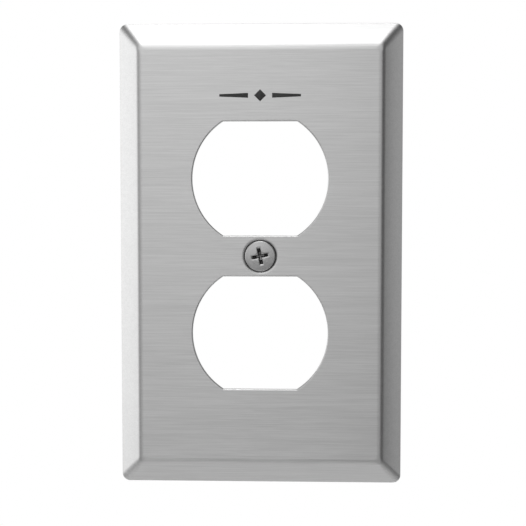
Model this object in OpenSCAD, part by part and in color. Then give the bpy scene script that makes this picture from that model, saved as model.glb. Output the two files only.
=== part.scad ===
// Duplex receptacle wall plate: a pressed sheet-steel cover with a bevelled
// rim, two outlet openings and one captive centre screw.
// Frame: X to the right and Z up along the wall, Y into the wall. The origin
// is on the wall plane, on the axis of the centre screw. Sub-parts are drawn
// lying on their back, height above the wall along local z, and stood up last.

/* [Plate] */
// Width across the wall
plate_w = 71.8; // [70:0.1:80]
// Height up the wall
plate_h = 117.1; // [114:0.1:125]
// Distance from the wall to the front of the flat face
plate_d = 5.1; // [4.8:0.1:6.5]
// Thickness of the sheet
sheet_t = 1.0; // [0.8:0.05:1.1]
// How far the bevel along each side reaches in from the edge
side_bevel = 5.2; // [4.8:0.05:6]
// How far the bevel along the top and the bottom reaches in from the edge
end_bevel = 6.0; // [5.5:0.05:7]
// Outside radius of the bend between the face and a bevel
bend_r = 3.2; // [2.4:0.1:3.4]
// Radius of the plate's four corners
corner_r = 2.0; // [1.5:0.1:3]
// Height of the straight band around the rim, next to the wall
rim_band = 0.35; // [0.2:0.05:0.6]

/* [Outlet openings] */
// Diameter of an opening's round sides
opening_d = 34.1; // [33.5:0.1:34.5]
// Distance between an opening's flat top and flat bottom
opening_flats = 28.58; // [28:0.02:28.8]
// Distance between the centres of the two openings
opening_pitch = 38.9; // [38.85:0.05:39.5]

/* [Screw seat] */
// Radius at which the face starts to dip towards the screw
dimple_r = 4.55; // [4.5:0.01:4.6]
// Radius of the bend at the dimple's lip
lip_r = 0.6; // [0.5:0.05:0.65]
// Thickness of the sheet where it is drawn into the dimple
seat_wall = 0.85; // [0.8:0.05:0.95]
// Full angle of the countersink
seat_angle = 82; // [80:1:90]
// Diameter of the clearance hole
hole_d = 3.9; // [3.7:0.05:4.1]
// How far the back of the dimple lies behind the front of the face
dimple_depth = 3.4; // [3.2:0.05:3.6]

/* [Screw] */
// Diameter of the oval head
head_d = 7.7; // [7.3:0.05:7.7]
// Height of the straight edge around the head
head_side = 0.25; // [0.15:0.05:0.4]
// Radius that rounds the top of that edge
head_round = 0.35; // [0.2:0.05:0.5]
// Rise of the dome above the rounded edge
head_dome = 0.2; // [0.2:0.05:0.8]
// Major diameter of the number 6 thread
thread_d = 3.505; // [3.45:0.005:3.55]
// Distance between thread crests, 32 to the inch
thread_pitch = 0.79375; // [0.7:0.00625:0.9]
// Diameter of the plain neck and of the thread's root
neck_d = 2.6; // [2.4:0.05:2.8]
// Length from the edge of the head to the tip
screw_l = 12.7; // [12:0.1:20]
// How far beyond the wall plane the thread starts
thread_start = 1.2; // [1:0.1:1.6]
// Span of the cross recess
recess_span = 4.8; // [4.2:0.1:5]
// Width of the recess's arms
recess_arm = 0.9; // [0.7:0.05:1.1]
// Depth of the recess
recess_depth = 2.2; // [1.6:0.1:2.4]
// Angle that the recess is left at, anticlockwise from the front
recess_turn = 11; // [0:1:89]

/* [Retaining washer] */
// Outside diameter
washer_d = 6.4; // [6:0.1:8]
// Thickness
washer_t = 0.8; // [0.5:0.05:0.9]
// Gap all round between the washer's bore and the screw's neck
washer_gap = 0.05; // [0.02:0.01:0.1]

/* [Printed mark] */
// Width of the printed mark
mark_w = 20.4; // [12:0.1:24]
// Height of the diamond in its middle
mark_h = 3.0; // [2:0.1:4]
// Height of the mark's centre above the screw
mark_z = 40.2; // [38:0.1:44]
// Thickness of the ink
ink_t = 0.04; // [0.03:0.01:0.06]

/* [Hidden] */
$fn = 96;

// Anything larger than this is only there to cut right through
through = 20;
// Slope of the countersink, measured from the face
seat_slope = 90 - seat_angle / 2;
// End of the lip's arc, where the straight countersink begins
seat_r = dimple_r - lip_r * sin(seat_slope);
seat_z = plate_d - lip_r * (1 - cos(seat_slope));
// Top of the hole, where the countersink ends
hole_top_z = seat_z - (seat_r - hole_d / 2) * tan(seat_slope);
dimple_back_z = plate_d - dimple_depth;
// The bend behind the dimple, where its cone meets the back of the sheet
back_bend_r = 0.15;
back_z = plate_d - sheet_t;
back_dimple_r = seat_r + seat_wall * sin(seat_slope)
    + (back_z - seat_z + seat_wall * cos(seat_slope)) / tan(seat_slope)
    + back_bend_r * tan(seat_slope / 2);
// The head is turned down hand tight: it stands this far off the countersink
seat_gap = 0.1;
head_r = head_d / 2;
head_edge_z = seat_z - (seat_r - head_r - seat_gap / sin(seat_slope)) * tan(seat_slope);
head_top_z = head_edge_z + head_side + head_round + head_dome;
tip_z = head_edge_z - screw_l;
neck_r = neck_d / 2;
thread_r = thread_d / 2;
neck_top_z = head_edge_z - (head_r - neck_r) * tan(seat_slope);
// Crest and root flats of the thread, and the run of one flank
crest_l = thread_pitch / 6;
root_l = thread_pitch / 5;
flank_l = (thread_pitch - crest_l - root_l) / 2;
tip_chamfer = 0.45;
thread_count = floor((-thread_start - tip_z - tip_chamfer) / thread_pitch);
// The washer lies against the first crest of the thread
washer_stop = 0.05;
washer_z = washer_stop - thread_start;

// Turns a sub-part drawn on its back so that it stands against the wall
module stand_up() {
    rotate([90, 0, 0]) children();
}

// Cross-section of the plate's outside or inside: a flat top with a rounded
// bend and a straight bevel on both sides. below is how far it runs past the
// wall plane, and band is its straight stretch at the bottom.
module bevel_section(half_w, inset, top, band, radius, below) {
    slope = atan2(top - band, inset);
    reach = radius * tan(slope / 2);
    bend_x = half_w - inset - reach;
    right = [
        [half_w, -below],
        [half_w, band],
        [half_w - inset + reach * cos(slope), top - reach * sin(slope)],
        [bend_x, top]
    ];
    left = [for (i = [3:-1:0]) [-right[i][0], right[i][1]]];
    polygon(concat(right, left));
    for (side = [-1, 1]) translate([side * bend_x, top - radius]) circle(r = radius);
}

// A rectangle with round corners
module round_rectangle(w, h, r) {
    square([w - 2 * r, h], center = true);
    square([w, h - 2 * r], center = true);
    for (x = [-1, 1], y = [-1, 1])
        translate([x * (w / 2 - r), y * (h / 2 - r)]) circle(r = r);
}

// The solid under the plate's outer skin
module outer_form() {
    intersection() {
        rotate([90, 0, 0])
            linear_extrude(plate_h + 2, center = true)
                bevel_section(plate_w / 2, side_bevel, plate_d, rim_band, bend_r, 0);
        rotate([90, 0, 90])
            linear_extrude(plate_w + 2, center = true)
                bevel_section(plate_h / 2, end_bevel, plate_d, rim_band, bend_r, 0);
        linear_extrude(plate_d) round_rectangle(plate_w, plate_h, corner_r);
    }
}

// Slope of a bevel, measured from the wall
function bevel_slope(inset) = atan2(plate_d - rim_band, inset);
// How far the inner skin's bevel reaches in, for one whose outer foot lies on the wall
function inner_inset(inset) = (plate_d - sheet_t) / tan(bevel_slope(inset));
// Distance from the middle of the plate to the foot of the inner skin
function inner_half(half_w, inset) =
    half_w - inset - sheet_t * tan(bevel_slope(inset) / 2) + inner_inset(inset);

// The hollow under the plate's inner skin
module inner_form() {
    half_w = inner_half(plate_w / 2, side_bevel);
    half_h = inner_half(plate_h / 2, end_bevel);
    inner_top = plate_d - sheet_t;
    inner_bend = bend_r - sheet_t;
    intersection() {
        rotate([90, 0, 0])
            linear_extrude(plate_h + 2, center = true)
                bevel_section(half_w, inner_inset(side_bevel), inner_top, 0, inner_bend, 1);
        rotate([90, 0, 90])
            linear_extrude(plate_w + 2, center = true)
                bevel_section(half_h, inner_inset(end_bevel), inner_top, 0, inner_bend, 1);
        translate([0, 0, -1])
            linear_extrude(plate_d + 1)
                round_rectangle(2 * half_w, 2 * half_h, corner_r - sheet_t);
    }
}

// One outlet opening: a circle with a flat top and bottom
module opening() {
    translate([0, 0, -1])
        linear_extrude(through)
            intersection() {
                circle(d = opening_d);
                square([opening_d + 2, opening_flats], center = true);
            }
}

// Points along a bend from level sheet at height z and radius start_r down to the cone
function lip_arc(start_r, z, radius) = [
    for (a = [0:seat_slope / 6:seat_slope + 0.01])
        [start_r - radius * sin(a), z - radius + radius * cos(a)]
];

// The cup that the dimple presses out behind the sheet, with its front still filled
module dimple_cup() {
    back_skin = lip_arc(back_dimple_r, back_z, back_bend_r);
    foot = back_skin[len(back_skin) - 1];
    foot_r = foot[0] - (foot[1] - dimple_back_z) / tan(seat_slope);
    rotate_extrude()
        polygon(concat([[0, plate_d - sheet_t / 2], [back_dimple_r, plate_d - sheet_t / 2]],
                       back_skin, [[foot_r, dimple_back_z], [0, dimple_back_z]]));
}

// What the dimple's front takes out of the sheet: lip, countersink and hole
module dimple_front() {
    front_skin = lip_arc(dimple_r, plate_d, lip_r);
    rotate_extrude()
        polygon(concat([[0, through], [dimple_r, through]], front_skin,
                       [[hole_d / 2, hole_top_z], [hole_d / 2, -1], [0, -1]]));
}

module face_plate() {
    color("silver") stand_up() difference() {
        union() {
            difference() {
                outer_form();
                inner_form();
            }
            dimple_cup();
        }
        dimple_front();
        for (side = [-1, 1]) translate([0, side * opening_pitch / 2, 0]) opening();
    }
}

// Side view of the head, from its dome to the bottom of its cone
function head_outline() = concat(
    [[0, head_top_z]],
    [for (x = [1:6]) let (r = x / 6 * (head_r - head_round))
        [r, head_top_z - head_dome * pow(r / (head_r - head_round), 2)]],
    [for (a = [60:-30:0])
        [head_r - head_round + head_round * cos(a),
         head_edge_z + head_side + head_round * sin(a)]],
    [[head_r, head_edge_z], [neck_r, neck_top_z]]);

// Side view of one crest of the thread, from its upper flank to its lower one
function crest_outline(top_z) = [
    [neck_r, top_z],
    [thread_r, top_z - flank_l],
    [thread_r, top_z - flank_l - crest_l],
    [neck_r, top_z - 2 * flank_l - crest_l]
];

// The two crossing slots and the cone of the recess
module recess() {
    foot_span = 1.6;
    for (turn = [0, 90])
        rotate([0, 0, recess_turn + turn])
            rotate([90, 0, 0])
                linear_extrude(recess_arm, center = true)
                    polygon([[-recess_span / 2, head_top_z + 1],
                             [-recess_span / 2, head_top_z - head_dome],
                             [-foot_span / 2, head_top_z - recess_depth],
                             [foot_span / 2, head_top_z - recess_depth],
                             [recess_span / 2, head_top_z - head_dome],
                             [recess_span / 2, head_top_z + 1]]);
    translate([0, 0, head_top_z - recess_depth])
        cylinder(h = recess_depth + 0.1, r1 = recess_arm / 2, r2 = recess_arm * 1.3);
}

module centre_screw() {
    crests = [for (i = [0:thread_count - 1])
        each crest_outline(-thread_start - i * thread_pitch)];
    last_z = -thread_start - thread_count * thread_pitch;
    color("gainsboro") stand_up() difference() {
        rotate_extrude()
            polygon(concat(head_outline(), crests,
                           [[neck_r, last_z + root_l / 2], [neck_r, tip_z + tip_chamfer],
                            [neck_r - tip_chamfer, tip_z], [0, tip_z]]));
        recess();
    }
}

module retaining_washer() {
    color("brown") stand_up() translate([0, 0, washer_z]) difference() {
        cylinder(h = washer_t, d = washer_d);
        translate([0, 0, -1]) cylinder(h = washer_t + 2, r = neck_r + washer_gap);
    }
}

// A diamond between two bars that narrow outwards
module printed_mark() {
    gap = mark_h / 2;
    bar_h = mark_h * 0.4;
    color("black") stand_up() translate([0, mark_z, plate_d]) linear_extrude(ink_t) {
        polygon([[-mark_h / 2, 0], [0, mark_h / 2], [mark_h / 2, 0], [0, -mark_h / 2]]);
        for (side = [-1, 1])
            polygon([[side * (mark_h / 2 + gap), bar_h / 2],
                     [side * (mark_h / 2 + gap), -bar_h / 2],
                     [side * mark_w / 2, -bar_h / 4],
                     [side * mark_w / 2, bar_h / 4]]);
    }
}

face_plate();
centre_screw();
retaining_washer();
printed_mark();
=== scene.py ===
"""Looks for a bevelled duplex receptacle wall plate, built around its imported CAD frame.

Sizes are in millimetres until a mesh is made, and metres in the scene. Shapes are drawn
lying on their back: x across, y up the wall, h the height above the wall, towards the room.
"""

import math

import bmesh
import bpy
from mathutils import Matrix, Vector


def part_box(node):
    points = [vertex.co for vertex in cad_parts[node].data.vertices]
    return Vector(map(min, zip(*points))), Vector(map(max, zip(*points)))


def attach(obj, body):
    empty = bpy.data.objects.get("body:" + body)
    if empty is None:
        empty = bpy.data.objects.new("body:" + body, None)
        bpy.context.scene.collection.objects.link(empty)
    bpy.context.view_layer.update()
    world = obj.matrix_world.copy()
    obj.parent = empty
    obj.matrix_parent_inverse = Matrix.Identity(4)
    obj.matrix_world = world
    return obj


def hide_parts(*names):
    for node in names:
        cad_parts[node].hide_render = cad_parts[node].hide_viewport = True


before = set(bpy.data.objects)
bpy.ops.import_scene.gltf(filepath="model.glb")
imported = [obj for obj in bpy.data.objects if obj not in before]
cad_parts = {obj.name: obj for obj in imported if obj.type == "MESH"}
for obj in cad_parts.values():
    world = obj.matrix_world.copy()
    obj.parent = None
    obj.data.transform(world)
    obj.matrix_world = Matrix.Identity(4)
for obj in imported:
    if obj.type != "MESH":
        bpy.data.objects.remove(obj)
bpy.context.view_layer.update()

MM = 0.001


def box_mm(node):
    """A CAD node's lowest and highest corners as (x, y, h) in millimetres."""
    low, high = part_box(node)
    return (low.x / MM, low.z / MM, -high.y / MM), (high.x / MM, high.z / MM, -low.y / MM)


# Plate: the outline and depth come from the frame, the rest from the same drawing as the CAD
_, (HALF_W, HALF_H, TOP) = box_mm("face_plate")
SHEET = 1.0
BACK = TOP - SHEET
SIDE_BEVEL, END_BEVEL = 5.2, 6.0
BEND = 3.2                              # outer radius between the face and a bevel
RIM_BAND = 0.35                         # height of the upright edge below a bevel
SOFT_EDGE = 0.2                         # radius between the two
BEND_CROWN = math.radians(6)            # how much flatter a bevel is where it leaves the bend
RIM_CROWN = math.radians(3)             # how much steeper it is where it meets the rim
RIM_CORNER, CREASE_CORNER = 2.0, 1.3    # corner radii in plan, at the outline and the face
INNER_CORNER_LESS = 0.7                 # how much less they are on the inside
RAW_ROUND = 0.08                        # radius at both sides of the raw edge

# Outlet openings: round, with flat ends
OPENING_R, OPENING_FLAT, OPENING_Y = 34.1 / 2, 28.58 / 2, 38.9 / 2
OPENING_CORNER = 0.5
ROLLOVER = 0.36                         # radius that the punch rolls over at the face
SHEARED = 0.35                          # share of the wall below it that is sheared clean
FRACTURE = 0.03                         # how far the torn rest leans away from the hole
BURR = 0.05

# Screw seat: a dimple with a sagging edge, a rounded lip and a cone down to the hole
SAG_R, SAG_SLOPE = 4.77, math.radians(7)
DIMPLE_R, LIP_R = 4.55, 0.6
SEAT_SLOPE = math.radians(90 - 82 / 2)
SEAT_WALL = 0.85
HOLE_R = 3.9 / 2
DIMPLE_BACK = TOP - 3.4
BACK_BEND = 0.15

# Screw: its head's radius and its tip come from the frame
(_, _, TIP), (HEAD_R, _, _) = box_mm("centre_screw")
LENGTH = 12.7
HEAD_SIDE, HEAD_ROUND, HEAD_DOME = 0.25, 0.35, 0.2
HEAD_EDGE = TIP + LENGTH
HEAD_TOP = HEAD_EDGE + HEAD_SIDE + HEAD_ROUND + HEAD_DOME
DOME_RADIUS = ((HEAD_R - HEAD_ROUND) ** 2 + HEAD_DOME ** 2) / (2 * HEAD_DOME) + HEAD_ROUND
DOME_EDGE = math.asin((HEAD_R - HEAD_ROUND) / (DOME_RADIUS - HEAD_ROUND))
NECK_R, THREAD_R, PITCH = 1.3, 3.505 / 2, 0.79375
THREAD_START = -1.2
RUN_OUT = 0.6                           # pitches in which the thread reaches its full depth
THREAD_END, POINT_START = TIP + 0.5, TIP + 0.3
POINT_FORM = [(0.86, TIP + 0.03), (0.80, TIP), (0.3, TIP)]
TIP_CHAMFER = 0.57

# Cross recess: half its span and half an arm's width, at the top, with what each loses
# by the bottom
RECESS_TURN, RECESS_DEPTH = math.radians(11), 1.9
RECESS_SPAN, SPAN_TAPER = 2.2, 1.2
RECESS_ARM, ARM_TAPER = 0.42, 0.14
ARM_ROUND = 0.45                        # radius of an arm's corners, in its half widths
RECESS_MOUTH = 0.24                     # radius of its rounded mouth
PIT_DEPTH, PIT_R = 0.3, 0.1             # the pit below its floor
SHOULDER, SHOULDER_LEAST = 0.6, 0.05    # cut-back between the arms, at the top and at least
SHOULDER_DEPTH = 0.3                    # depth over which it would run out
SHOULDER_HOLLOW = 0.92                  # how near the axis its middle is, straight being 1
RECESS_SHADE_FROM, RECESS_SHADE_RUN = 0.15, 0.15        # shares of the depth over which painted shade darkens the recess

# Where along one pitch the thread's section changes, and how much of its depth it has there
THREAD_FORM = [(0.0, 0.0), (0.09, 0.0), (0.12, 0.05), (0.25, 0.5), (0.38, 0.95), (0.41, 1.0),
               (0.5, 1.0), (0.59, 1.0), (0.62, 0.95), (0.75, 0.5), (0.88, 0.05), (0.91, 0.0)]

# Washer
(_, _, WASHER_BACK), (WASHER_R, _, WASHER_FRONT) = box_mm("retaining_washer")
WASHER_BORE = NECK_R + 0.05

# Mark
(_, MARK_LOW, _), (MARK_HALF_W, MARK_HIGH, MARK_TOP) = box_mm("printed_mark")

# How finely the shapes are divided
CORNER_STEPS = 12
END_DIVISIONS, SIDE_DIVISIONS = 14, 24
SEGMENTS = 96
SHARP = math.radians(32)


# ---------------------------------------------------------------- meshes

class Skin:
    """Collects one closed surface: points (x, y, h), a normal and a raw-edge-and-shade value for
    each, and faces. The value is 1 on raw edges, which are duller, and deep in the recess, where
    it stands for painted shade, and 0 elsewhere."""

    def __init__(self):
        self.points, self.normals, self.dull, self.faces = [], [], [], []

    def point(self, place, normal, dull=0.0):
        """Adds a point and returns its index."""
        self.points.append(tuple(place))
        self.normals.append(tuple(normal))
        self.dull.append(dull)
        return len(self.points) - 1

    def ring(self, points, normals, dull=0.0):
        """Adds a closed ring of points and returns their indices."""
        return [self.point(p, n, dull) for p, n in zip(points, normals)]

    def bands(self, rings):
        """Joins each ring to the next, which is as long, with quads."""
        for a, b in zip(rings, rings[1:]):
            for i in range(len(a)):
                j = (i + 1) % len(a)
                self.faces.append((a[i], a[j], b[j], b[i]))

    def cap(self, ring):
        """Closes a ring with one face."""
        self.faces.append(tuple(ring))


def stand_up(p):
    """From (x, y, h) on its back to the frame: X across, Y into the wall, Z up."""
    return Vector((p[0], -p[2], p[1]))


def make_piece(name, skin, planes=(), sharp=None):
    """Turns a skin into an object. planes lists groups of rings between which a flat
    region is filled. Edges beyond the angle sharp are shaded as edges; without one,
    the skin's own normals are used."""
    mesh = bpy.data.meshes.new(name)
    mesh.from_pydata([stand_up(p) * MM for p in skin.points], [], skin.faces)
    bm = bmesh.new()
    bm.from_mesh(mesh)
    bm.verts.ensure_lookup_table()
    for rings in planes:
        edges = []
        for ring in rings:
            for a, b in zip(ring, ring[1:] + ring[:1]):
                edges.append(bm.edges.get((bm.verts[a], bm.verts[b])))
        bmesh.ops.triangle_fill(bm, edges=edges, use_beauty=True, use_dissolve=False)
    bmesh.ops.recalc_face_normals(bm, faces=bm.faces)
    bm.to_mesh(mesh)
    bm.free()
    dull = mesh.attributes.new("dull", "FLOAT", "POINT")
    dull.data.foreach_set("value", skin.dull)
    for polygon in mesh.polygons:
        polygon.use_smooth = True
    if sharp is None:
        mesh.normals_split_custom_set_from_vertices(
            [stand_up(n).normalized() for n in skin.normals])
    else:
        mesh.set_sharp_from_angle(angle=sharp)
    piece = bpy.data.objects.new(name, mesh)
    bpy.context.scene.collection.objects.link(piece)
    return piece


def limited(value, low=0.0, high=1.0):
    """The value, or the nearer limit where it lies outside them."""
    return min(max(value, low), high)


def arc(centre, radius, start, end, steps, hollow=False):
    """Points of a rounded stretch of a section, each (u, h, normal u, normal h). Angles
    are the normal's, from straight up towards larger u. hollow is for an inside curve."""
    side = -1 if hollow else 1
    out = []
    for i in range(steps + 1):
        a = start + (end - start) * i / steps
        nu, nh = math.sin(a), math.cos(a)
        out.append((centre[0] + side * radius * nu, centre[1] + side * radius * nh, nu, nh))
    return out


def straight(a, b, steps):
    """Points between two section points, leaving out the two."""
    return [tuple(a[k] + (b[k] - a[k]) * i / steps for k in range(4))
            for i in range(1, steps)]


def turned_ring(skin, point, phase=0.0, dull=0.0):
    """A circle of the section point (radius, h, normal r, normal h) about the axis."""
    r, h, nr, nh = point
    angles = [phase + math.tau * i / SEGMENTS for i in range(SEGMENTS)]
    return skin.ring([(r * math.cos(a), r * math.sin(a), h) for a in angles],
                     [(nr * math.cos(a), nr * math.sin(a), nh) for a in angles], dull)


# Plate rim ------------------------------------------------------

def bevel_pieces(inset):
    """The rim's section for one bevel, from the face over the rim to the back: a list
    of (function of t from 0 to 1 giving (distance in from the outline, h), steps)."""
    slope = math.atan2(TOP - RIM_BAND, inset)
    sin, cos = math.sin(slope), math.cos(slope)
    quarter = math.pi / 2
    gentle, steep = slope - BEND_CROWN, slope + RIM_CROWN
    bend = (inset + BEND * math.tan(slope / 2), TOP - BEND)
    soft = (SOFT_EDGE, RIM_BAND - SOFT_EDGE * math.tan((quarter - slope) / 2))
    inner = BEND - SHEET
    inner_top = (bend[0] - inner * sin, bend[1] + inner * cos)
    foot = inner_top[0] - inner_top[1] / sin * cos
    inner_edge = (foot - RAW_ROUND * (1 - cos) / sin, RAW_ROUND)

    def curve(centre, radius, start, end):
        def at(t):
            a = start + (end - start) * t
            return centre[0] - radius * math.sin(a), centre[1] + radius * math.cos(a)
        return at

    def line(p, q):
        return lambda t: (p[0] + (q[0] - p[0]) * t, p[1] + (q[1] - p[1]) * t)

    def crowned(p, q):
        """From p to q, leaving at the gentle slope and arriving at the steep one."""
        reach = math.hypot(q[0] - p[0], q[1] - p[1])
        leave = (-reach * math.cos(gentle), -reach * math.sin(gentle))
        arrive = (-reach * math.cos(steep), -reach * math.sin(steep))

        def at(t):
            a, b = 2 * t ** 3 - 3 * t ** 2 + 1, t ** 3 - 2 * t ** 2 + t
            c, d = 3 * t ** 2 - 2 * t ** 3, t ** 3 - t ** 2
            return tuple(a * p[k] + b * leave[k] + c * q[k] + d * arrive[k] for k in (0, 1))
        return at

    outer_bend = curve(bend, BEND, 0, gentle)
    soft_bend = curve(soft, SOFT_EDGE, steep, quarter)
    outer_cut = curve((RAW_ROUND, RAW_ROUND), RAW_ROUND, quarter, 2 * quarter)
    inner_cut = curve(inner_edge, RAW_ROUND, 2 * quarter, 2 * quarter + slope)
    inner_bend = curve(bend, inner, slope, 0)
    return [
        (outer_bend, 16),
        (crowned(outer_bend(1), soft_bend(0)), 12),
        (soft_bend, 5),
        (line(soft_bend(1), outer_cut(0)), 1),
        (outer_cut, 4),
        (line(outer_cut(1), inner_cut(0)), 2),
        (inner_cut, 3),
        (line(inner_cut(1), inner_bend(0)), 4),
        (inner_bend, 8),
    ]


SIDE_PIECES, END_PIECES = bevel_pieces(SIDE_BEVEL), bevel_pieces(END_BEVEL)
RAW_EDGE = 5    # the piece that is the sheet's raw edge, against the wall


def corner_radius(inward):
    """Radius in plan of a corner of the rim: inward is 0 at the outline, 1 at the face."""
    return RIM_CORNER + (CREASE_CORNER - RIM_CORNER) * min(inward, 1) ** 2


def rim_point(corner, turn, piece, t):
    """A point of the rim: corner is the signs of its quadrant, turn is 0 where the
    outline faces sideways and pi/2 where it faces up or down."""
    side_in, side_h = SIDE_PIECES[piece][0](t)
    end_in, end_h = END_PIECES[piece][0](t)
    share = math.sin(turn) ** 2
    radius = corner_radius(side_in / SIDE_BEVEL)
    if piece >= RAW_EDGE:
        radius -= INNER_CORNER_LESS * (t if piece == RAW_EDGE else 1)
    x = HALF_W - side_in - radius + radius * math.cos(turn)
    y = HALF_H - end_in - radius + radius * math.sin(turn)
    return Vector((corner[0] * x, corner[1] * y, side_h + (end_h - side_h) * share))


def rim_normal(corner, turn, piece, t):
    """The rim's outward normal, from its two directions at that point."""
    step = 1e-4
    t = limited(t, step, 1 - step)
    around = rim_point(corner, turn + step, piece, t) - rim_point(corner, turn - step, piece, t)
    across = rim_point(corner, turn, piece, t + step) - rim_point(corner, turn, piece, t - step)
    return across.cross(around).normalized() * (corner[0] * corner[1])


def rim_ring(skin, piece, t):
    """One ring round the whole rim, with its straight stretches divided up."""
    bends = []
    for corner in ((1, 1), (-1, 1), (-1, -1), (1, -1)):
        turns = [math.pi / 2 * i / CORNER_STEPS for i in range(CORNER_STEPS + 1)]
        if corner[0] * corner[1] < 0:
            turns.reverse()
        bends.append([(rim_point(corner, turn, piece, t), rim_normal(corner, turn, piece, t))
                      for turn in turns])
    ring = []
    for k, bend in enumerate(bends):
        ring += bend
        last, normal = bend[-1]
        following = bends[(k + 1) % 4][0][0]
        divisions = SIDE_DIVISIONS if k % 2 else END_DIVISIONS
        ring += [(last.lerp(following, i / divisions), normal) for i in range(1, divisions)]
    raw = piece == RAW_EDGE or (piece == RAW_EDGE - 1 and t > 0.5)
    return skin.ring([point for point, _ in ring], [normal for _, normal in ring], float(raw))


# Openings -------------------------------------------------------

def opening_outline():
    """An opening's outline about its own centre: ((x, y), normal away from the hole)."""
    fillet_y = OPENING_FLAT - OPENING_CORNER
    fillet_x = math.sqrt((OPENING_R - OPENING_CORNER) ** 2 - fillet_y ** 2)
    meet = math.atan2(fillet_y, fillet_x)
    arc_steps, fillet_steps, flat_steps = 18, 5, 8
    quarter = []
    for i in range(arc_steps + 1):
        a = meet * i / arc_steps
        n = (math.cos(a), math.sin(a))
        quarter.append(((OPENING_R * n[0], OPENING_R * n[1]), n))
    for i in range(1, fillet_steps + 1):
        a = meet + (math.pi / 2 - meet) * i / fillet_steps
        n = (math.cos(a), math.sin(a))
        quarter.append(((fillet_x + OPENING_CORNER * n[0], fillet_y + OPENING_CORNER * n[1]), n))
    for i in range(1, flat_steps + 1):
        quarter.append(((fillet_x * (1 - i / flat_steps), OPENING_FLAT), (0.0, 1.0)))

    def mirrored(points, sx, sy):
        return [((sx * p[0], sy * p[1]), (sx * n[0], sy * n[1])) for p, n in points]

    return (quarter + mirrored(quarter[-2::-1], -1, 1)
            + mirrored(quarter[1:], -1, -1) + mirrored(quarter[-2:0:-1], 1, -1))


def opening_section():
    """Section of a pierced edge from face to back: rolled over, sheared, then torn."""
    front = arc((ROLLOVER, TOP - ROLLOVER), ROLLOVER, 0, -math.pi / 2, 7)
    back = arc((FRACTURE + BURR, BACK + BURR), BURR, -math.pi / 2, -math.pi, 3)
    torn_from = TOP - ROLLOVER - SHEARED * (SHEET - ROLLOVER)
    return front + [(0.0, torn_from, -1.0, 0.0)] + back


def add_opening(skin, centre_y):
    """Adds an opening's wall and returns its rings at the face and at the back."""
    outline = opening_outline()
    rings = []
    for grow, h, n_out, n_up in opening_section():
        points = [(p[0] + grow * n[0], centre_y + p[1] + grow * n[1], h) for p, n in outline]
        normals = [(n_out * n[0], n_out * n[1], n_up) for _, n in outline]
        raw = -0.99 < n_up < 0.2        # past the rollover and short of the back
        rings.append(skin.ring(points, normals, float(raw)))
    skin.bands(rings)
    return rings[0], rings[-1]


# Screw seat -----------------------------------------------------

def seat_section():
    """Section of the dimple, from the face through the hole to the back."""
    sin, cos, tan = math.sin(SEAT_SLOPE), math.cos(SEAT_SLOPE), math.tan(SEAT_SLOPE)
    seat_r, seat_h = DIMPLE_R - LIP_R * sin, TOP - LIP_R * (1 - cos)
    sag_run = SAG_R - DIMPLE_R + LIP_R * math.sin(SAG_SLOPE)
    sag_radius = sag_run / math.sin(SAG_SLOPE)
    sag = arc((SAG_R, TOP - sag_radius), sag_radius, 0, -SAG_SLOPE, 6)
    lip_h = sag[-1][1] - LIP_R * math.cos(SAG_SLOPE)
    lip = sag + arc((DIMPLE_R, lip_h), LIP_R, -SAG_SLOPE, -SEAT_SLOPE, 10)[1:]
    hole_top = seat_h - (seat_r - HOLE_R) * tan
    mouth, back_edge, cup = 0.12, 0.08, 0.2
    hole_mouth = arc((HOLE_R + mouth, hole_top - mouth * (1 - sin) / cos), mouth,
                     -SEAT_SLOPE, -math.pi / 2, 4)
    hole_back = arc((HOLE_R + back_edge, DIMPLE_BACK + back_edge), back_edge,
                    -math.pi / 2, -math.pi, 4)
    back_r = (seat_r + SEAT_WALL * sin + (BACK - seat_h + SEAT_WALL * cos) / tan
              + BACK_BEND * math.tan(SEAT_SLOPE / 2))
    back_bend = arc((back_r, BACK - BACK_BEND), BACK_BEND,
                    math.pi - SEAT_SLOPE, math.pi, 5, hollow=True)
    foot = back_bend[0][0] - (back_bend[0][1] - DIMPLE_BACK) / tan
    cup_edge = arc((foot - cup * (1 - cos) / sin, DIMPLE_BACK + cup), cup,
                   math.pi, math.pi - SEAT_SLOPE, 5)
    section = lip + straight(lip[-1], hole_mouth[0], 4) + hole_mouth + hole_back
    return section + cup_edge + straight(cup_edge[-1], back_bend[0], 4) + back_bend


def build_plate():
    """The pressed sheet: rim, dimple and two openings, joined by the flat face and back."""
    skin = Skin()
    rim = []
    for piece, (_, steps) in enumerate(SIDE_PIECES):
        for i in range(0 if piece == 0 else 1, steps + 1):
            rim.append(rim_ring(skin, piece, i / steps))
    skin.bands(rim)
    seat = [turned_ring(skin, p) for p in seat_section()]
    skin.bands(seat)
    upper, lower = add_opening(skin, OPENING_Y), add_opening(skin, -OPENING_Y)
    front = [rim[0], seat[0], upper[0], lower[0]]
    back = [rim[-1], seat[-1], upper[1], lower[1]]
    return make_piece("plate_shell", skin, planes=[front, back])


# Screw ----------------------------------------------------------

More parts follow.
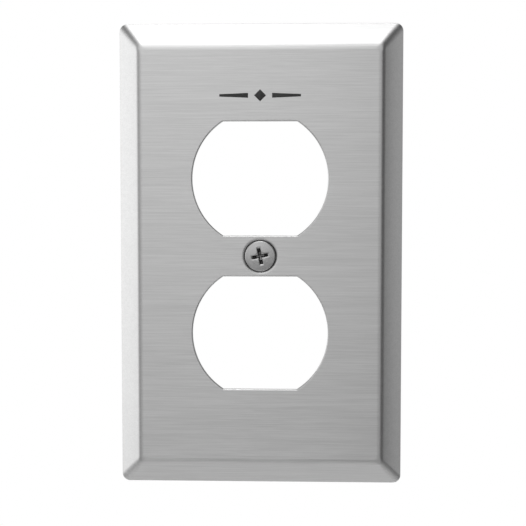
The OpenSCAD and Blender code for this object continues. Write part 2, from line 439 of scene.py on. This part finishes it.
def recess_outline(span, half_arm, inner):
    """The cross at one depth: half its span, half an arm's width, and how far from the
    axis the corners between the arms are cut back. SEGMENTS points about the axis."""
    end_round = half_arm * ARM_ROUND
    side_steps, end_steps = 6, 10
    arm = []
    for i in range(side_steps):
        arm.append((inner + (span - end_round - inner) * i / side_steps, -half_arm))
    for i in range(end_steps + 1):
        a = -math.pi / 2 + math.pi * i / end_steps
        reach = half_arm - end_round
        y = math.copysign(reach, math.sin(a)) if abs(math.sin(a)) > 1e-9 else 0.0
        arm.append((span - end_round + end_round * math.cos(a), y + end_round * math.sin(a)))
    for i in range(1, side_steps + 1):
        arm.append((span - end_round + (inner - span + end_round) * i / side_steps, half_arm))
    corner = (half_arm + inner) / 2 * SHOULDER_HOLLOW
    arm.append((corner, corner))
    points = []
    for k in range(4):
        c, s = math.cos(k * math.pi / 2), math.sin(k * math.pi / 2)
        points += [(c * x - s * y, s * x + c * y) for x, y in arm]
    return points


def dome_height(r):
    """Height of the head's top at a distance from the axis."""
    return HEAD_TOP - DOME_RADIUS + math.sqrt(DOME_RADIUS ** 2 - r * r)


def recess_rings(skin):
    """The recess, from the pit up to its rounded mouth, marked for painted shade that darkens it
    with depth.
    """
    levels = [(depth, 0) for depth in (1.0, 0.8, 0.6, 0.4, 0.25, 0.19)]
    for degrees in (90, 72, 54, 36, 18, 0):
        a = math.radians(degrees)
        levels.append((RECESS_MOUTH * (1 - math.cos(a)) / RECESS_DEPTH,
                       RECESS_MOUTH * (1 - math.sin(a))))
    pit_h = HEAD_TOP - RECESS_DEPTH - PIT_DEPTH
    rings = [turned_ring(skin, (PIT_R, pit_h, 0, 1), dull=1.0)]
    cos, sin = math.cos(RECESS_TURN), math.sin(RECESS_TURN)
    for depth, spread in levels:
        span = RECESS_SPAN - SPAN_TAPER * depth + spread
        half_arm = RECESS_ARM - ARM_TAPER * depth + spread
        inner = half_arm + max(SHOULDER * (1 - depth * RECESS_DEPTH / SHOULDER_DEPTH),
                               SHOULDER_LEAST)
        points = []
        for x, y in recess_outline(span, half_arm, inner):
            top = dome_height(math.hypot(x, y))
            points.append((x * cos - y * sin, x * sin + y * cos,
                           top - depth * (RECESS_DEPTH - HEAD_TOP + top)))
        # Painted shade: the recess's colour darkens with depth, and the pit is fully darkened
        dull = limited((depth - RECESS_SHADE_FROM) / RECESS_SHADE_RUN)
        rings.append(skin.ring(points, [(0, 0, 1)] * SEGMENTS, dull))
    return rings


def dome_rings(skin, mouth, phase):
    """The head's top, from the recess's mouth out to the rim: rings that turn from a
    cross into a circle, with their first points on the line at angle phase."""
    rim_r = DOME_RADIUS * math.sin(DOME_EDGE)
    rings = []
    for t in (0.12, 0.3, 0.5, 0.7, 0.86, 0.96):
        points = []
        for i, (x, y, _) in enumerate(mouth):
            r = math.hypot(x, y)
            a = (math.atan2(y, x) - phase) % math.tau if i else 0.0
            even = math.tau * i / SEGMENTS
            radius, angle = r + (rim_r - r) * t, phase + a + (even - a) * t
            points.append((radius * math.cos(angle), radius * math.sin(angle),
                           dome_height(radius)))
        rings.append(skin.ring(points, [(0, 0, 1)] * SEGMENTS))
    return rings


def shank_section():
    """Section from the rounded rim of the head down to the neck."""
    sin, cos, tan = math.sin(SEAT_SLOPE), math.cos(SEAT_SLOPE), math.tan(SEAT_SLOPE)
    side_top = HEAD_EDGE + HEAD_SIDE
    rim = arc((HEAD_R - HEAD_ROUND, side_top), HEAD_ROUND, DOME_EDGE, math.pi / 2, 8)
    edge, fillet = 0.08, 0.4
    under = arc((HEAD_R - edge, HEAD_EDGE + edge * (1 - sin) / cos), edge,
                math.pi / 2, math.pi - SEAT_SLOPE, 3)
    neck_top = HEAD_EDGE - (HEAD_R - NECK_R) * tan
    neck = arc((NECK_R + fillet, neck_top - fillet * (1 - sin) / cos), fillet,
               math.pi - SEAT_SLOPE, math.pi / 2, 4, hollow=True)
    return rim + under + straight(under[-1], neck[0], 4) + neck


def thread_radius(h, depth):
    """Radius of the thread at height h, where its form has this share of its depth."""
    run_out = limited((THREAD_START - h) / (PITCH * RUN_OUT))
    radius = NECK_R + (THREAD_R - NECK_R) * depth * run_out
    return min(radius, THREAD_R - TIP_CHAMFER + h - TIP)


def add_thread(skin, top_ring, phase):
    """A right-hand helix: the grid rises by one pitch round each turn, so its rows join
    the rows one pitch on, and flat rings close both ends."""
    per_turn = len(THREAD_FORM)
    rows = per_turn * (math.floor((THREAD_START - THREAD_END) / PITCH) - 1)
    columns = []
    for i in range(SEGMENTS):
        angle = phase + math.tau * i / SEGMENTS
        out = (math.cos(angle), math.sin(angle))
        column = []
        for j in range(rows + 1 + (per_turn if i == 0 else 0)):
            share, depth = THREAD_FORM[j % per_turn]
            h = THREAD_END + PITCH * (i / SEGMENTS + j // per_turn + share)
            r = thread_radius(h, depth)
            column.append(skin.point((r * out[0], r * out[1], h), (out[0], out[1], 0)))
        columns.append(column)
    seam, last = columns[0], columns[-1]
    for i, column in enumerate(columns):
        ahead = columns[i + 1] if i + 1 < SEGMENTS else seam[per_turn:]
        for j in range(rows):
            skin.faces.append((column[j], ahead[j], ahead[j + 1], column[j + 1]))
    for i in range(1, SEGMENTS - 1):
        skin.faces.append((columns[i][rows], columns[i + 1][rows], top_ring[i + 1], top_ring[i]))
    skin.cap([columns[1][rows], top_ring[1], top_ring[0]] + seam[rows + per_turn:rows - 1:-1])
    skin.cap([last[rows], seam[rows + per_turn], top_ring[0], top_ring[-1]])
    low = turned_ring(skin, (thread_radius(POINT_START, 0), POINT_START, 0.7, -0.7), phase)
    for i in range(SEGMENTS - 1):
        skin.faces.append((low[i], low[i + 1], columns[i + 1][0], columns[i][0]))
    skin.cap([low[-1], low[0]] + seam[:per_turn + 1] + [last[0]])
    rings = [low] + [turned_ring(skin, (r, h, 0, -1), phase) for r, h in POINT_FORM]
    skin.bands(rings)
    skin.cap(rings[-1])


def build_screw():
    """The screw from the bottom of its recess, over the head and down to its tip."""
    skin = Skin()
    recess = recess_rings(skin)
    mouth = [skin.points[i] for i in recess[-1]]
    phase = math.atan2(mouth[0][1], mouth[0][0])
    dome = dome_rings(skin, mouth, phase)
    skin.cap(recess[0])
    neck = (NECK_R, THREAD_START, 1, 0)
    shank = [turned_ring(skin, p, phase) for p in shank_section() + [neck]]
    skin.bands(recess + dome + shank)
    add_thread(skin, shank[-1], phase)
    return make_piece("oval_head_screw", skin, sharp=SHARP)


# Washer and mark ------------------------------------------------

def build_washer():
    """A punched fibre washer: rolled over where the punch went in, ragged behind."""
    skin = Skin()
    soft, hard = 0.14, 0.06
    quarter = math.pi / 2
    front, back = WASHER_FRONT - soft, WASHER_BACK + hard
    section = (arc((WASHER_R - soft, front), soft, 0, quarter, 5)
               + arc((WASHER_R - hard, back), hard, quarter, 2 * quarter, 3)
               + arc((WASHER_BORE + hard, back), hard, -2 * quarter, -quarter, 3)
               + arc((WASHER_BORE + soft, front), soft, -quarter, 0, 5))
    rings = [turned_ring(skin, p) for p in section]
    skin.bands(rings + [rings[0]])
    return make_piece("fibre_washer", skin)


def ink_patch(skin, outline):
    """A film of ink on the face: a convex outline, rounded down to the sheet all round."""
    middle_x = sum(p[0] for p in outline) / len(outline)
    middle_y = sum(p[1] for p in outline) / len(outline)
    rings = []
    for shrink, rise in ((0.0, 0.05), (0.02, 0.6), (0.06, 1.0)):
        points = []
        for x, y in outline:
            scale = 1 - shrink / math.hypot(x - middle_x, y - middle_y)
            points.append((middle_x + (x - middle_x) * scale,
                           middle_y + (y - middle_y) * scale, TOP + rise * (MARK_TOP - TOP)))
        rings.append(skin.ring(points, [(0, 0, 1)] * len(points)))
    skin.bands(rings)
    skin.cap(rings[-1])
    skin.cap(rings[0])


def build_mark():
    """A diamond between two bars that narrow outwards, in ink."""
    skin = Skin()
    half_h, y = (MARK_HIGH - MARK_LOW) / 2, (MARK_HIGH + MARK_LOW) / 2
    steps = 12

    def outline(corners):
        points = []
        for (ax, ay), (bx, by) in zip(corners, corners[1:] + corners[:1]):
            points += [(ax + (bx - ax) * i / steps, y + ay + (by - ay) * i / steps)
                       for i in range(steps)]
        return points

    ink_patch(skin, outline([(-half_h, 0), (0, -half_h), (half_h, 0), (0, half_h)]))
    thick, thin, start = half_h * 0.4, half_h * 0.2, half_h * 2
    for side in (-1, 1):
        ink_patch(skin, outline([(side * start, thick), (side * start, -thick),
                                 (side * MARK_HALF_W, -thin), (side * MARK_HALF_W, thin)]))
    return make_piece("ink_mark", skin, sharp=SHARP)


# ---------------------------------------------------------------- materials

class Graph:
    """Shorthand for a node tree: each call adds nodes and returns the last one's output."""

    def __init__(self, tree):
        self.tree = tree
        tree.nodes.clear()

    def add(self, kind, inputs=None, output=0, **settings):
        node = self.tree.nodes.new(kind)
        for key, value in settings.items():
            setattr(node, key, value)
        for key, value in (inputs or {}).items():
            if isinstance(value, bpy.types.NodeSocket):
                self.tree.links.new(value, node.inputs[key])
            else:
                node.inputs[key].default_value = value
        return node.outputs[output] if len(node.outputs) else None

    def math(self, operation, a, b=0.0):
        return self.add("ShaderNodeMath", {0: a, 1: b}, operation=operation)

    def times(self, a, b):
        return self.math("MULTIPLY", a, b)

    def sum(self, first, *others):
        for other in others:
            first = self.math("ADD", first, other)
        return first

    def ramp(self, value, low, high, to_low=0.0, to_high=1.0):
        """A smooth step from to_low at low to to_high at high."""
        return self.add("ShaderNodeMapRange",
                        {"Value": value, "From Min": low, "From Max": high,
                         "To Min": to_low, "To Max": to_high},
                        interpolation_type="SMOOTHSTEP")

    def spread(self, noise, low, high):
        """Noise, which mostly lies between 0.3 and 0.7, spread from low to high."""
        return self.ramp(noise, 0.3, 0.7, low, high)

    def grey(self, value):
        return self.add("ShaderNodeCombineColor", {"Red": value, "Green": value, "Blue": value})

    def multiply(self, vector, by):
        return self.add("ShaderNodeVectorMath", {0: vector, 1: by}, operation="MULTIPLY")

    def noise(self, vector, scale, detail, roughness=0.55, distortion=0.0):
        """Noise over millimetres, with its own scale along each axis."""
        return self.add("ShaderNodeTexNoise",
                        {"Vector": self.multiply(vector, scale), "Scale": 1.0,
                         "Detail": detail, "Roughness": roughness, "Distortion": distortion})

    def object_mm(self):
        return self.multiply(self.add("ShaderNodeTexCoord", output="Object"), (1 / MM,) * 3)

    # Marks raw edges, and painted shade deep in the screw's recess
    def dullness(self):
        return self.add("ShaderNodeAttribute", output="Fac", attribute_name="dull")

    def bump(self, strength, depth, height):
        return self.add("ShaderNodeBump",
                        {"Strength": strength, "Distance": depth, "Height": height})

    def shade(self, inputs):
        shader = self.add("ShaderNodeBsdfPrincipled", inputs)
        self.add("ShaderNodeOutputMaterial", {"Surface": shader})


def new_material(name):
    """A material, its graph and the place on the object in millimetres."""
    material = bpy.data.materials.new(name)
    material.use_nodes = True
    g = Graph(material.node_tree)
    return material, g, g.object_mm()


def brushed_stainless():
    """Sheet brushed along X before pressing, so its lines run on over the bevels."""
    material, g, mm = new_material("brushed_stainless")
    broad = g.noise(mm, (0.02, 1.1, 1.1), 2)
    streak = g.noise(mm, (0.07, 4.0, 4.0), 4)
    fine = g.noise(mm, (0.25, 16.0, 16.0), 3)
    torn = g.noise(mm, (9.0, 1.5, 9.0), 3)
    raw = g.dullness()
    bright = g.sum(0.60, g.spread(streak, -0.03, 0.03), g.spread(broad, -0.012, 0.012),
                   g.spread(fine, -0.02, 0.02))
    bright = g.math("SUBTRACT", bright, g.times(raw, g.spread(torn, 0.06, 0.22)))
    lines = g.sum(g.times(fine, 0.6), g.times(streak, 0.4))
    # Across the lines, tilted so that it never lies along the normal of the upper edge
    across = g.add("ShaderNodeCombineXYZ", {"X": 0.0, "Y": 0.04, "Z": 1.0})
    tangent = g.add("ShaderNodeVectorTransform", {"Vector": across}, vector_type="VECTOR",
                    convert_from="OBJECT", convert_to="WORLD")
    g.shade({"Base Color": g.grey(bright), "Metallic": 1.0,
             "Roughness": g.sum(g.spread(streak, 0.29, 0.34), g.times(raw, 0.1)),
             "Anisotropic": 0.85, "Tangent": tangent, "Normal": g.bump(0.25, 0.00002, lines)})
    return material


def turned_steel():
    """Screw steel: faint rings from turning on the head, with painted shade darkening it down in
    the recess.
    """
    material, g, mm = new_material("screw_steel")
    flat = g.multiply(mm, (1, 0, 1))
    radius = g.add("ShaderNodeVectorMath", {0: flat}, output="Value", operation="LENGTH")
    rings = g.add("ShaderNodeTexNoise", {"W": radius, "Scale": 7.0, "Detail": 4.0},
                  noise_dimensions="1D")
    patch = g.noise(mm, (0.8, 0.8, 0.8), 3)
    bright = g.sum(g.spread(rings, 0.45, 0.54), g.spread(patch, -0.02, 0.02))
    # Painted shade: the colour falls to half deep in the recess
    bright = g.times(bright, g.ramp(g.dullness(), 0.0, 1.0, 1.0, 0.5))
    g.shade({"Base Color": g.grey(bright), "Metallic": 1.0,
             "Roughness": g.spread(patch, 0.26, 0.34), "Normal": g.bump(0.3, 0.00001, rings)})
    return material


def vulcanised_fibre():
    """Hard red-brown fibre with short matted hairs and a dull surface."""
    material, g, mm = new_material("washer_fibre")
    matted = g.noise(mm, (9.0, 30.0, 9.0), 5, 0.7, 1.5)
    cloud = g.noise(mm, (1.2, 1.2, 1.2), 3)
    mixed = g.sum(g.times(matted, 0.6), g.times(cloud, 0.4))
    dark, light = (0.20, 0.045, 0.025, 1), (0.42, 0.13, 0.07, 1)
    colour = g.add("ShaderNodeMix",
                   {"Factor": g.ramp(mixed, 0.35, 0.65), "A": dark, "B": light},
                   output=2, data_type="RGBA")
    g.shade({"Base Color": colour, "Roughness": g.spread(cloud, 0.55, 0.75),
             "Normal": g.bump(0.5, 0.00005, matted)})
    return material


def black_ink():
    """Pad-printed ink: nearly black, a little uneven, half matt."""
    material, g, mm = new_material("black_ink")
    uneven = g.noise(mm, (3.0, 3.0, 12.0), 4)
    g.shade({"Base Color": g.grey(g.spread(uneven, 0.012, 0.03)),
             "Roughness": g.spread(uneven, 0.38, 0.55)})
    return material


def pale_floor():
    """Nearly white paint, faintly uneven."""
    material, g, mm = new_material("pale_floor")
    grain = g.noise(mm, (0.05, 0.05, 0.05), 4)
    g.shade({"Base Color": g.grey(g.spread(grain, 0.89, 0.92)), "Roughness": 0.7})
    return material


# ---------------------------------------------------------------- studio

def light_the_studio():
    """A white room for the camera, and soft boxes with dark gaps between them for what
    the metal reflects. Angles are in degrees: azimuth from the front towards the
    right, and elevation."""
    world = bpy.data.worlds.new("studio")
    bpy.context.scene.world = world
    world.use_nodes = True
    g = Graph(world.node_tree)
    way = g.add("ShaderNodeTexCoord", output="Generated")
    x, y, z = g.add("ShaderNodeSeparateXYZ", {"Vector": way}).node.outputs
    degrees = 180 / math.pi
    azimuth = g.times(g.math("ARCTAN2", x, g.times(y, -1.0)), degrees)
    elevation = g.times(g.math("ARCSINE", z), degrees)
    sideways = g.math("ABSOLUTE", azimuth)

    def window(value, a, b, c, d):
        """1 between b and c, fading to 0 at a and d."""
        return g.times(g.ramp(value, a, b), g.ramp(value, c, d, 1.0, 0.0))

    def card(strength, across, up):
        return g.times(strength, g.times(across, up))

    # For the face: brighter upwards, and dimmer away from the middle
    rise = g.sum(g.ramp(elevation, -15, 9, 0.28, 0.98), g.ramp(elevation, 10, 85, 0.0, 0.75))
    aside = g.times(g.ramp(azimuth, -58, -8, 0.45, 1.0), g.ramp(azimuth, -2, 8, 1.0, 0.62))
    front = card(rise, aside, window(azimuth, -75, -50, 26, 46))
    # For the left and right bevels
    left = card(g.ramp(elevation, -30, 5, 1.12, 1.45), window(azimuth, -130, -115, -73, -50),
                window(elevation, -36, -14, 24, 37))
    right = card(g.ramp(azimuth, 66, 105, 0.155, 0.435), window(azimuth, 60, 75, 110, 120),
                 window(elevation, -32, -14, 34, 50))
    # For the upper bevel
    high = g.sum(elevation, g.ramp(sideways, 20, 70, 0.0, 5.0))
    top = card(2.3, g.ramp(sideways, 150, 120, 0.1, 1.0), g.ramp(high, 60, 82))
    # For the lower bevel
    low = card(g.ramp(sideways, 20, 60, 0.25, 0.62), 1.0, window(elevation, -85, -65, -52, -32))
    floor = card(0.6, 1.0, g.ramp(elevation, -50, -70))
    # For the back
    behind = card(0.55, g.ramp(sideways, 115, 135), window(elevation, -60, -35, 30, 50))

    room = 0.12
    total = g.sum(room, front, left, right, low, top, floor, behind)
    # The camera sees plain white behind the plate, and the metal sees the cards
    seen = g.add("ShaderNodeLightPath", output="Is Camera Ray")
    strength = g.add("ShaderNodeMix", {"Factor": seen, "A": total, "B": 1.0}, data_type="FLOAT")
    lit = g.add("ShaderNodeBackground", {"Color": (1, 1, 1, 1), "Strength": strength})
    g.add("ShaderNodeOutputWorld", {"Surface": lit})
    bpy.context.scene.view_settings.view_transform = "Standard"


def add_floor():
    """A pale floor well below the plate, where only its lower bevel reflects it."""
    size, drop = 0.8, 1.2
    mesh = bpy.data.meshes.new("studio_floor")
    corners = [(-size, -size), (size, -size), (size, size), (-size, size)]
    mesh.from_pydata([(x, y, -drop) for x, y in corners], [], [(0, 1, 2, 3)])
    floor = bpy.data.objects.new("studio_floor", mesh)
    bpy.context.scene.collection.objects.link(floor)
    floor.data.materials.append(pale_floor())


def add_camera():
    """Close, a little right of and above the middle of the plate."""
    data = bpy.data.cameras.new("camera")
    data.sensor_width, data.lens = 36.0, 82.1
    camera = bpy.data.objects.new("camera", data)
    bpy.context.scene.collection.objects.link(camera)
    camera.location = (0.0124, -0.3061, 0.0166)
    down, left = math.radians(3.48), math.radians(2.22)
    camera.rotation_euler = (math.pi / 2 - down, 0, left)
    bpy.context.scene.camera = camera


# ---------------------------------------------------------------- assembly

def place(piece, body, node, slot, material):
    """Gives a piece its material and ties it to the frame."""
    piece.data.materials.append(material)
    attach(piece, body)
    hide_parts(node)


place(build_plate(), "plate", "face_plate", "brushed_stainless", brushed_stainless())
place(build_screw(), "screw", "centre_screw", "screw_steel", turned_steel())
place(build_washer(), "washer", "retaining_washer", "washer_fibre", vulcanised_fibre())
place(build_mark(), "plate", "printed_mark", "black_ink", black_ink())

light_the_studio()
add_floor()
add_camera()
